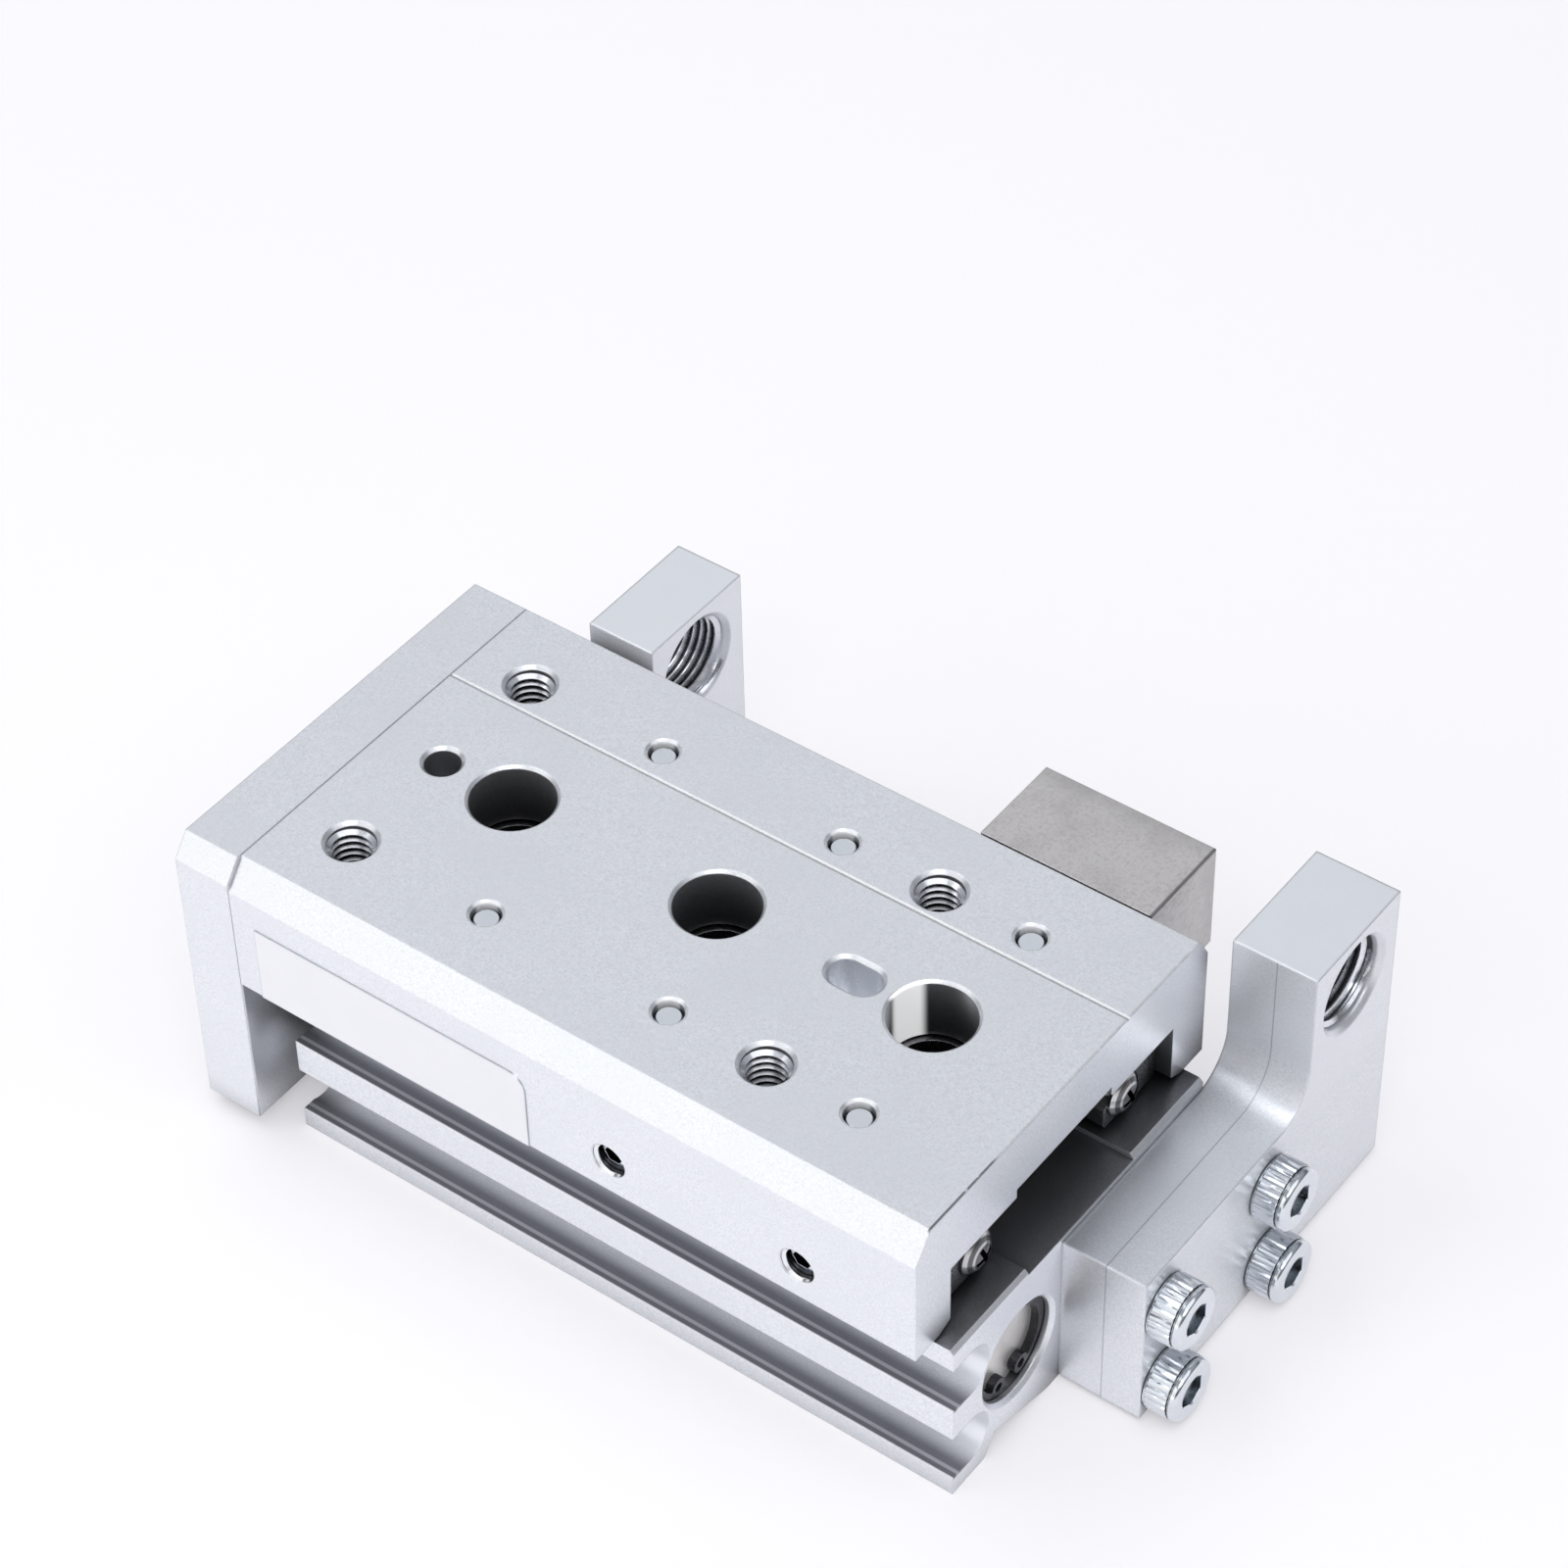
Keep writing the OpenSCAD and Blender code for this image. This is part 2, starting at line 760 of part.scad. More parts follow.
// Outline of the end plate, with the table's chamfers along its top edges
module plate_outline() {
  polygon([
    [-half_w, plate_bottom], [half_w, plate_bottom], [half_w, table_top - far_edge_d],
    [half_w - far_edge_w, table_top], [plate_edge_w - half_w, table_top],
    [-half_w, table_top - plate_edge_d]
  ]);
}

// The plate seats on the table's end. A small step round its inner face leaves the joint line.
module end_plate() {
  color(anodised)
    difference() {
      union() {
        along_x(plate_x, end_plate_t - plate_joint) plate_outline();
        along_x(table_x - plate_joint, plate_joint) offset(delta = -plate_joint) plate_outline();
      }
      for (p = plate_screws) {
        round_x([plate_x - past, p[0], p[1]], m3_clear, end_plate_t + 2 * past);
        round_x([plate_x - past, p[0], p[1]], m3_sink, sink_depth + past);
      }
      for (s = [-1, 1], z = work_z) {
        round_x([plate_x - past, s * work_y, z], m4_r, work_depth + past);
        translate([plate_x, s * work_y, z]) rotate([0, -90, 0]) rim_cone(m4_r, m4_rim);
      }
    }
}

module end_plate_screws() {
  color(zinc)
    for (y = plate_screw_ys)
      translate([plate_x + sink_depth, y, plate_screw_z]) rotate([0, -90, 0])
        cap_screw(m3, plate_screw_grip);
}

// ---- Stopper, holders and label ----------------------------------------------------------

module stopper_block() {
  size = [stop_x[1] - stop_x[0], stop_depth, stop_z[1] - stop_z[0]];
  color(nickel)
    difference() {
      translate([stop_x[0], half_w, stop_z[0]]) cube(size);
      for (x = stop_screw_x) {
        round_y([x, half_w - past, stop_screw_z], m3_clear, stop_depth + 2 * past);
        round_y([x, half_w + stop_grip, stop_screw_z], m3_sink, stop_depth);
      }
    }
}

module stopper_block_screws() {
  color(zinc)
    for (x = stop_screw_x)
      translate([x, half_w + stop_grip, stop_screw_z]) rotate([-90, 0, 0])
        cap_screw(m3, stop_grip + stop_thread - tap_spare);
}

// The adjuster thread through a holder, rimmed at both mouths
module adjuster_cut(x, t) {
  r = adjuster_d / 2;
  round_x([x - past, adjuster_y, adjuster_z], r, t + 2 * past);
  translate([x, adjuster_y, adjuster_z]) rotate([0, -90, 0]) rim_cone(r, adjuster_rim);
  translate([x + t, adjuster_y, adjuster_z]) rotate([0, 90, 0]) rim_cone(r, adjuster_rim);
}

// Outline of a holder: a foot from base_y and an upright, blended by a concave quarter round
module holder_outline(base_y, shelf) {
  difference() {
    union() {
      translate([base_y, holder_bottom])
        square([holder_y[1] - base_y, shelf - holder_bottom]);
      translate([holder_y[0] - holder_fillet, holder_bottom])
        square([holder_fillet + holder_y[1] - holder_y[0], shelf + holder_fillet - holder_bottom]);
      translate([holder_y[0], holder_bottom])
        square([holder_y[1] - holder_y[0], holder_top - holder_bottom]);
    }
    translate([holder_y[0] - holder_fillet, shelf + holder_fillet]) circle(r = holder_fillet);
  }
}

module rear_holder() {
  color(anodised)
    difference() {
      along_x(rear_x, rear_holder_t) holder_outline(holder_base_y, holder_shelf);
      adjuster_cut(rear_x, rear_holder_t);
      for (y = rear_screw_y, z = rear_screw_z) {
        round_x([rear_x - past, y, z], m3_clear, rear_holder_t + 2 * past);
      }
    }
}

module rear_holder_screws() {
  color(zinc)
    for (y = rear_screw_y, z = rear_screw_z)
      translate([rear_x + rear_holder_t, y, z]) rotate([0, 90, 0])
        cap_screw(m3, rear_holder_t + rear_thread);
}

module front_holder() {
  color(anodised)
    difference() {
      along_x(front_x, front_holder_t) {
        translate([half_body, holder_bottom])
          square([holder_y[1] - half_body, front_shelf - holder_bottom]);
        translate([holder_y[0], holder_bottom])
          square([holder_y[1] - holder_y[0], holder_top - holder_bottom]);
      }
      adjuster_cut(front_x, front_holder_t);
      for (z = front_screw_z) {
        round_y([front_mid, half_body - past, z], m25_clear, body_w);
        round_y([front_mid, half_body + front_grip, z], m25_sink, body_w);
      }
    }
}

module front_holder_screws() {
  color(zinc)
    for (z = front_screw_z)
      translate([front_mid, half_body + front_grip, z]) rotate([-90, 0, 0])
        cap_screw(m25, front_grip + front_thread);
}

// Blank sticker on the near side with one round corner
module label_blank() {
  size = [label_x[1] - label_x[0], label_z[1] - label_z[0]];
  color(paper)
    translate([label_x[0], -half_w - label_t, label_z[0]])
      difference() {
        cube([size[0], label_t, size[1]]);
        translate([size[0] - label_r, -past, size[1] - label_r])
          difference() {
            cube([label_r + past, 2 * past, label_r + past]);
            round_y([0, -past, 0], label_r, 4 * past);
          }
      }
}

cylinder_body();
guide_block();
guide_block_screws();
head_covers();
head_cover_o_rings();
rod_covers();
rod_cover_o_rings();
rod_seals();
retaining_rings();
front_bumpers();
rear_bumpers();
rear_holder();
rear_holder_screws();
front_holder();
front_holder_screws();
table();
rail_near();
rail_far();
rail_screws();
rail_stop_screws();
preload_set_screws();
end_plate();
end_plate_screws();
piston_rods();
rod_screws();
pistons();
piston_seals();
piston_magnets();
stopper_block();
stopper_block_screws();
label_blank();
roller_cage_near();
rollers_near();
roller_cage_far();
rollers_far();
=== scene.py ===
"""Looks of the pneumatic slide table.

Gives the CAD solids their materials, adds thread ridges and knurled cap screws, and sets the
camera, lamps and floor. Materials are built in mm, and pieces in metres."""
import json
import math

import bpy
from mathutils import Matrix, Vector


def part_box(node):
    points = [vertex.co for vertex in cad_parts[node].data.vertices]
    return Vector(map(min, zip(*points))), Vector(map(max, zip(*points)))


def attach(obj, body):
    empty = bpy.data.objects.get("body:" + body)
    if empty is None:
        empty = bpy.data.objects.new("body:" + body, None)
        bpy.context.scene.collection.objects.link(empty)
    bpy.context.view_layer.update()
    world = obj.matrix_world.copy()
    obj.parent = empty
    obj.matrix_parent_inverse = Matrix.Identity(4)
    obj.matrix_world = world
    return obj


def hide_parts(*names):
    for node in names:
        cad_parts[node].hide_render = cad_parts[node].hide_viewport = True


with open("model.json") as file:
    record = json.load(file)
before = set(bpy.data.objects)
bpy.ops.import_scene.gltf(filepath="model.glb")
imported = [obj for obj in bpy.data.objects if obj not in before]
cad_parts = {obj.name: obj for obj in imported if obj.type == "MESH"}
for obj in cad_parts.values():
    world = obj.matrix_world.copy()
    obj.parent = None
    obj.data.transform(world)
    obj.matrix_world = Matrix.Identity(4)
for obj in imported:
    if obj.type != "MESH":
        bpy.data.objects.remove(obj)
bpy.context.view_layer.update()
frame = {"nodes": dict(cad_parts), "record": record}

MM = 0.001
X, Y, Z = Vector((1, 0, 0)), Vector((0, 1, 0)), Vector((0, 0, 1))
NODES = frame["nodes"]
RECORD = frame["record"]
MOUNTS = {m["name"]: m for m in RECORD["mounts"]}
SLOT_OF = {s["node"]: s["material_slot"] for s in RECORD["subparts"]}
BODY_OF = {n: b for b, names in RECORD["behaviour"]["bodies"].items() for n in names}
GROOVES = [o["box_m"] for o in RECORD["physics"]["openings"]
           if o["name"].startswith("switch_groove")]

# Places that the marks follow, in mm. On the table's top: the scribed line, and the rail screws'
# tips on both sides of the middle
MARK_Y = 8.2
RAIL_SCREW_X = (-13.7, 3.8, 21.3)
RAIL_SCREW_Y = 11
# In the body: how far in the switch grooves' axis lies, and a radius just past their wall
GROOVE_AXIS_IN = 2.3
PAST_GROOVE = 2.42

WHITE = (1.0, 1.0, 1.0)
ALUMINIUM = (0.85, 0.868, 0.905)


def box_mm(node):
    """A CAD node's lowest and highest corners in mm."""
    return [[c / MM for c in corner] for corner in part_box(node)]


def mount_mm(name):
    """A mount's place in mm."""
    return [c / MM for c in MOUNTS[name]["pos_m"]]


def scaled(colour, share):
    """A colour made darker or lighter by a share."""
    return [c * share for c in colour]


# ---- Material building blocks -------------------------------------------------------------

class Finish:
    """A Principled material whose colour, roughness and bump come from procedural nodes in mm.

    A mask is a node output that runs from 0 to 1."""

    def __init__(self, name, colour, metallic, roughness, **sockets):
        self.mat = bpy.data.materials.new(name)
        self.mat.use_nodes = True
        self.nodes = self.mat.node_tree.nodes
        self.bsdf = self.nodes["Principled BSDF"]
        self.bsdf.inputs["Metallic"].default_value = metallic
        self.bsdf.inputs["Roughness"].default_value = roughness
        self.bsdf.inputs["Base Color"].default_value = (*colour, 1)
        for socket, value in sockets.items():
            self.bsdf.inputs[socket.replace("_", " ")].default_value = value
        self.colour = self.shade(colour)
        self.rough = roughness
        self.metal = metallic
        self.height = None
        coords = self.nodes.new("ShaderNodeTexCoord")
        scale = self.node("ShaderNodeVectorMath", operation="SCALE")
        self.link(coords.outputs["Object"], scale.inputs[0])
        scale.inputs["Scale"].default_value = 1 / MM
        self.mm = scale.outputs[0]
        split = self.node("ShaderNodeSeparateXYZ")
        self.link(self.mm, split.inputs[0])
        self.axes = dict(zip("xyz", split.outputs))

    def node(self, kind, **settings):
        made = self.nodes.new(kind)
        for key, value in settings.items():
            setattr(made, key, value)
        return made

    def link(self, source, target):
        self.mat.node_tree.links.new(source, target)

    def put(self, value, target):
        """Sets a socket to a number or links an output to it."""
        if isinstance(value, (int, float)):
            target.default_value = value
        else:
            self.link(value, target)

    def shade(self, colour):
        made = self.node("ShaderNodeRGB")
        made.outputs[0].default_value = (*colour, 1)
        return made.outputs[0]

    def math(self, operation, a, b=None):
        made = self.node("ShaderNodeMath", operation=operation)
        self.put(a, made.inputs[0])
        if b is not None:
            self.put(b, made.inputs[1])
        return made.outputs[0]

    def times(self, first, *others):
        """The product of masks: 1 where all of them are."""
        for other in others:
            first = self.math("MULTIPLY", first, other)
        return first

    def most(self, first, *others):
        """The largest of masks: 1 where any of them is."""
        for other in others:
            first = self.math("MAXIMUM", first, other)
        return first

    def noise(self, size, stretch=(1, 1, 1), detail=2.0, rough=0.5, offset=0.0):
        """Noise whose blobs are about size mm across, longer along an axis by its stretch."""
        place = self.node("ShaderNodeMapping")
        self.link(self.mm, place.inputs["Vector"])
        place.inputs["Scale"].default_value = [1 / (size * s) for s in stretch]
        place.inputs["Location"].default_value = (offset, offset * 0.7, offset * 1.3)
        made = self.node("ShaderNodeTexNoise")
        self.link(place.outputs[0], made.inputs["Vector"])
        made.inputs["Scale"].default_value = 1
        made.inputs["Detail"].default_value = detail
        made.inputs["Roughness"].default_value = rough
        return made.outputs["Fac"]

    def ramp(self, value, low, high, to_low=0.0, to_high=1.0):
        """Maps low..high to to_low..to_high, clamped. The last two may be outputs."""
        made = self.node("ShaderNodeMapRange", interpolation_type="SMOOTHSTEP")
        self.put(value, made.inputs["Value"])
        made.inputs["From Min"].default_value = low
        made.inputs["From Max"].default_value = high
        self.put(to_low, made.inputs["To Min"])
        self.put(to_high, made.inputs["To Max"])
        return made.outputs[0]

    def away(self, axis, middle):
        """Distance in mm from a plane across an axis."""
        return self.math("ABSOLUTE", self.math("SUBTRACT", self.axes[axis], middle))

    def band(self, axis, middle, half, soft):
        """1 inside a slab across an axis, fading to 0 over soft mm."""
        return self.ramp(self.away(axis, middle), half, half + soft, 1.0, 0.0)

    def from_line(self, **place):
        """Distance in mm from a line, given the two coordinates that it keeps, such as y and z."""
        squares = [self.math("POWER", self.math("SUBTRACT", self.axes[axis], at), 2.0)
                   for axis, at in place.items()]
        return self.math("SQRT", self.math("ADD", *squares))

    def from_near_axis(self, y, z):
        """Distance in mm from the nearer of two lines along x, one at y and one at -y."""
        return self.math("MINIMUM", self.from_line(y=y, z=z), self.from_line(y=-y, z=z))

    def towards(self, x, y, minus_x, plus_y):
        """How many mm a point lies from x, y in the direction (-minus_x, plus_y)."""
        return self.math(
            "SUBTRACT",
            self.math("MULTIPLY", self.math("SUBTRACT", self.axes["y"], y), plus_y),
            self.math("MULTIPLY", self.math("SUBTRACT", self.axes["x"], x), minus_x))

    def facing(self, axis, sign=1):
        """1 on faces that look along an axis, such as z for up."""
        split = self.node("ShaderNodeSeparateXYZ")
        self.link(self.node("ShaderNodeNewGeometry").outputs["Normal"], split.inputs[0])
        return self.ramp(self.math("MULTIPLY", split.outputs[axis.upper()], sign), 0.5, 0.8)

    def tint(self, mask, colour, amount=1.0):
        """Blends the base colour towards a colour where the mask is 1."""
        mix = self.node("ShaderNodeMix", data_type="RGBA")
        self.put(self.math("MULTIPLY", mask, amount), mix.inputs["Factor"])
        self.link(self.colour, mix.inputs["A"])
        mix.inputs["B"].default_value = (*colour, 1)
        self.colour = mix.outputs["Result"]

    def dull(self, mask, metallic):
        """Takes the metallic value to another one where the mask is 1."""
        self.metal = self.ramp(mask, 0, 1, self.metal, metallic)

    def scatter(self, value, low, high, amount):
        """Adds amount times the mapped value (-1 to 1) to the roughness."""
        self.rough = self.math("ADD", self.rough, self.ramp(value, low, high, -amount, amount))

    def bump(self, value, depth):
        """Adds relief of about depth mm."""
        add = self.math("MULTIPLY", value, depth)
        self.height = add if self.height is None else self.math("ADD", self.height, add)

    def paint_hollow_shade(self, reach, darkest, clear=0.8, shut=0.15, colour=(0.02, 0.02, 0.025),
                spare=None, only=None):
        """Paints shade, as a darker colour, on what lies deep in holes, slots and gaps, up to a
        share of darkest.

        It starts where the share of open sky within reach falls below clear, and is full at shut.
        A spared mask stays as it is, and an only mask limits the painted shade to its own place."""
        open_sky = self.node("ShaderNodeAmbientOcclusion", samples=8)
        open_sky.inputs["Distance"].default_value = reach * MM
        mask = self.ramp(open_sky.outputs["AO"], clear, shut)
        if spare is not None:
            mask = self.times(mask, self.math("SUBTRACT", 1.0, spare))
        if only is not None:
            mask = self.times(mask, only)
        self.tint(mask, colour, darkest)

    def finish(self, edge=0.0):
        """Links the colour, roughness, metallic and relief, with edges rounded by edge mm."""
        self.link(self.colour, self.bsdf.inputs["Base Color"])
        self.put(self.rough, self.bsdf.inputs["Roughness"])
        self.put(self.metal, self.bsdf.inputs["Metallic"])
        normal = None
        if edge:
            bevel = self.node("ShaderNodeBevel", samples=6)
            bevel.inputs["Radius"].default_value = edge * MM
            normal = bevel.outputs[0]
        if self.height is not None:
            relief = self.node("ShaderNodeBump")
            relief.inputs["Strength"].default_value = 1
            relief.inputs["Distance"].default_value = MM
            self.link(self.height, relief.inputs["Height"])
            if normal is not None:
                self.link(normal, relief.inputs["Normal"])
            normal = relief.outputs[0]
        if normal is not None:
            self.link(normal, self.bsdf.inputs["Normal"])
        return self.mat


# ---- Aluminium ----------------------------------------------------------------------------

def anodised(name, marks=None, reach=7, clear=0.8, shut=0.15, edge=0.15):
    """Clear anodised aluminium: matte, with a fine speckle, faint clouds, softened edges and
    painted shade deep in its holes and gaps.

    The marks function adds a node's own marks, painted light and shade among them, and may return a
    mask that the painted shade spares."""
    f = Finish(name, ALUMINIUM, 0.86, 0.36)
    speckle = f.noise(0.17)
    f.tint(f.ramp(speckle, 0.50, 0.70), scaled(ALUMINIUM, 1.15), 0.6)
    f.tint(f.ramp(speckle, 0.50, 0.30), scaled(ALUMINIUM, 0.80), 0.5)
    f.tint(f.ramp(f.noise(9, offset=3.1), 0.35, 0.7), scaled(ALUMINIUM, 0.97), 0.6)
    f.scatter(f.noise(4, detail=4, offset=8.2), 0.3, 0.7, 0.02)
    f.bump(f.noise(0.14, offset=5.5), 0.005)
    spare = marks(f) if marks else None
    # Painted shade deep in holes, slots and gaps
    f.paint_hollow_shade(reach, 0.93, clear, shut, spare=spare)
    return f.finish(edge=edge)


def cut_thread(name):
    """Tapped aluminium: bright crests, with painted shade in the roots and deeper in the hole."""
    f = Finish(name, ALUMINIUM, 0.95, 0.22)
    f.scatter(f.noise(0.4, detail=3), 0.3, 0.7, 0.06)
    f.paint_hollow_shade(0.55, 0.96, 0.85, 0.35)
    f.paint_hollow_shade(7, 0.9, 0.42, 0.08)
    return f.finish()


def table_marks(f):
    """The burr line near the rear top edge, the scribed line and painted light on the walls of some
    holes.

    Returns the mask that the painted shade spares: those walls and the joint with the end plate."""
    lo, hi = box_mm("table")
    high = f.ramp(f.axes["z"], hi[2] - 0.3, hi[2] - 0.05)

    # The burr line is fainter and broken away from the near side
    burr = f.band("x", hi[0] - 0.13, 0.05, 0.09)
    nicks = f.ramp(f.noise(0.9, detail=5, offset=2.4), 0.30, 0.46)
    near = f.ramp(f.axes["y"], lo[1] + 9.5, lo[1] + 10.5, 1.0, 0.22)
    f.tint(f.times(burr, high, nicks, near), (0.10, 0.10, 0.12), 0.85)

    # The scribed line: a bright cut with a grey edge
    f.tint(f.times(f.band("y", MARK_Y - 0.16, 0.04, 0.05), high), (0.50, 0.51, 0.54), 0.7)
    f.tint(f.times(f.band("y", MARK_Y + 0.02, 0.07, 0.05), high), WHITE, 0.9)

    # The pin slot and the holes round the rail screws' tips are spared the painted shade, and
    # painted light, white and less metallic, brightens the holes' walls, most so at the back
    x, y, _ = mount_mm("table_pin_slot")
    light = f.times(f.band("x", x, 2.7, 0.3), f.band("y", y, 2.0, 0.3))
    for x in RAIL_SCREW_X:
        for y in (-RAIL_SCREW_Y, RAIL_SCREW_Y):
            hole = f.ramp(f.from_line(x=x, y=y), 1.9, 1.7)
            light = f.most(light, hole)
            below = f.ramp(f.axes["z"], hi[2], hi[2] - 0.15)
            back = f.times(hole, below, f.ramp(f.towards(x, y, 0.6, 0.8), 0.75, 1.1))
            f.tint(back, WHITE, 0.9)
            f.dull(back, 0.2)

    # The wall of the rear access hole on the side away from its open end is painted as lit: white,
    # less metallic, and with a weak glow standing for the light it catches
    x, y, _ = mount_mm("table_access_rear")
    wall = f.times(f.ramp(f.from_line(x=x, y=y), 3.75, 3.65),
                   f.ramp(f.towards(x, y, 0.93, 0.36), 3.02, 3.36))
    f.tint(wall, WHITE, 0.95)
    f.dull(wall, 0.15)
    f.put(f.times(wall, 0.42), f.bsdf.inputs["Emission Strength"])

    x, y, _ = mount_mm("table_pin_hole")
    pin = f.times(f.ramp(f.from_line(x=x, y=y), 2.0, 1.8), 0.35)
    joint = f.ramp(f.axes["x"], lo[0] + 0.12, lo[0] + 0.04, 0.0, 0.8)
    return f.most(light, wall, pin, joint)


def plate_marks(f):
    """Returns the mask of the seam against the table, which the painted shade spares, so it stays
    faint.
    """
    rear, low = box_mm("end_plate")[1][0], box_mm("table")[0][2]
    return f.times(f.ramp(f.axes["x"], rear - 0.12, rear - 0.06),
                   f.ramp(f.axes["z"], low, low + 0.2, 0, 0.8))


def body_marks(f):
    """Painted shade on the seat and ledges in the table's shade, and in the switch grooves painted
    light at the back, painted shade towards the lip and a painted highlight along the lower lip.

    Returns the mask of the grooves, which keep that painted light and shade instead of the painted
    shade in hollows."""
    # Painted shade on the seat and ledges under the table
    ledges = f.times(f.facing("z"), f.ramp(f.axes["z"], 15.5, 15.9))
    f.paint_hollow_shade(18, 0.84, 0.95, 0.40, only=ledges)

    inside = 0.0
    y = box_mm("cylinder_body")[0][1] + GROOVE_AXIS_IN
    for low, high in GROOVES:
        z = (low[2] + high[2]) / 2 / MM
        mouth = f.times(f.band("z", z, PAST_GROOVE, 0.03), f.ramp(f.axes["y"], y - 2.25, y - 2.18),
                        f.ramp(f.axes["y"], y + 0.1, y))
        inside = f.most(inside, mouth, f.ramp(f.from_line(y=y, z=z), 2.5, PAST_GROOVE))
        # A painted highlight along the groove's lower lip
        lip = f.times(f.band("z", z - 2.23, 0.03, 0.05), f.ramp(f.axes["y"], y - 2.2, y - 2.27))
        f.tint(lip, WHITE, 0.8)
    f.dull(inside, 0.35)
    # Painted light at the back of each groove and painted shade towards its mouth, with a lighter
    # painted line near the mouth
    back = f.ramp(f.axes["y"], y + 0.2, y + 1.2)
    front = f.ramp(f.axes["y"], y + 1.1, y - 1.2)
    f.tint(f.times(inside, back), (0.92, 0.94, 1.0), 0.9)
    f.tint(f.times(inside, front), (0.09, 0.09, 0.11), 0.85)
    f.tint(f.times(inside, f.band("y", y - 1.65, 0.10, 0.12)), ALUMINIUM, 0.45)
    return inside


def holder_marks(f, end, near_metallic):
    """A holder's top with painted light, its softer near face above the foot, its rear face in two
    shades, painted shade above and less metallic below, and painted shade on the walls deep inside
    its adjuster hole."""
    top = box_mm(end + "_holder")[1]
    f.dull(f.times(f.facing("y", -1), f.ramp(f.axes["z"], 15, 18)), near_metallic)
    # Painted light on the top
    f.tint(f.times(f.facing("z"), f.ramp(f.axes["z"], top[2] - 0.6, top[2] - 0.3)),
           (0.94, 0.965, 1.0), 0.8)
    # Painted shade on the upper part of the rear face
    f.tint(f.times(f.facing("x"), f.ramp(f.axes["z"], 13, 17)), (0.70, 0.715, 0.745), 0.4)
    f.dull(f.times(f.facing("x"), f.ramp(f.axes["z"], 17, 13)), 0.6)
    # Painted shade on the walls deep inside the adjuster hole
    _, y, z = mount_mm(end + "_adjuster_thread")
    inside = f.ramp(f.from_line(y=y, z=z), 4.3, 4.05)
    deep = f.ramp(f.axes["x"], top[0] - 0.7, top[0] - 1.0)
    f.tint(f.times(inside, deep), (0.03, 0.03, 0.035), 0.9)


def front_holder_marks(f):
    holder_marks(f, "front", 0.15)


def rear_holder_marks(f):
    """Also painted shade on the foot's top, and the faint tool line half way through the thickness.
    """
    holder_marks(f, "rear", 0.45)
    lo, hi = box_mm("rear_holder")
    # Painted shade on the foot's top
    foot = f.times(f.facing("z"), f.ramp(f.axes["y"], hi[1] - 11, hi[1] - 14))
    f.paint_hollow_shade(9, 0.75, 0.85, 0.3, only=foot)
    line = f.band("x", (lo[0] + hi[0]) / 2 + 0.2, 0.03, 0.05)
    below = f.ramp(f.axes["z"], hi[2] - 0.12, hi[2] - 0.04, 1.0, 0.0)
    f.tint(f.times(line, below), (0.30, 0.31, 0.34), 0.55)


def turned_cover(name):
    """Bare aluminium turned on a lathe: fine rings about each bore's axis."""
    base = (0.88, 0.85, 0.82)
    ring_pitch = 0.16
    f = Finish(name, base, 0.7, 0.30)
    lo, hi = box_mm("head_covers")
    cover_r = (hi[2] - lo[2]) / 2
    radius = f.from_near_axis(y=hi[1] - cover_r, z=(lo[2] + hi[2]) / 2)
    rings = f.math("SINE", f.math("MULTIPLY", radius, 2 * math.pi / ring_pitch))
    f.tint(f.ramp(rings, -0.5, 1), scaled(base, 0.86), 0.6)
    f.tint(f.ramp(f.noise(1.5, detail=4), 0.45, 0.7), (0.86, 0.83, 0.78), 0.5)
    f.bump(rings, 0.004)
    return f.finish(edge=0.08)


def blank_film(name):
    """Blank silver label film with its edge a little darker and faint dust."""
    f = Finish(name, (0.90, 0.905, 0.925), 0.75, 0.30, Coat_Weight=0.2, Coat_Roughness=0.2)
    lo, hi = box_mm("label_blank")
    rims = []
    for i, axis in ((0, "x"), (2, "z")):
        half = (hi[i] - lo[i]) / 2
        rims.append(f.ramp(f.away(axis, (lo[i] + hi[i]) / 2), half - 0.12, half - 0.04))
    f.tint(f.most(*rims), (0.62, 0.63, 0.66), 0.7)
    f.tint(f.ramp(f.noise(0.25, detail=4), 0.62, 0.74), (0.80, 0.81, 0.83), 0.3)
    f.tint(f.ramp(f.noise(6, offset=3), 0.4, 0.7), (0.94, 0.945, 0.96), 0.4)
    f.bump(f.noise(1.8, offset=5), 0.01)
    return f.finish()


# ---- Steel, brass, rubber -----------------------------------------------------------------

def ground_steel(name, darkest=0.9, clear=0.8, shut=0.2):
    """Ground steel with fine lines along the stroke, and painted shade in hollows."""
    base = (0.50, 0.50, 0.52)
    f = Finish(name, base, 1.0, 0.30)
    lines = f.noise(0.12, stretch=(60, 1, 1), detail=3)
    f.tint(f.ramp(lines, 0.35, 0.65), scaled(base, 0.78), 0.7)
    f.tint(f.ramp(f.noise(2.5, detail=4, offset=4), 0.5, 0.75), scaled(base, 1.1), 0.4)
    f.scatter(lines, 0.3, 0.7, 0.06)
    f.bump(lines, 0.003)
    f.paint_hollow_shade(7, darkest, clear, shut)
    return f.finish(edge=0.08)


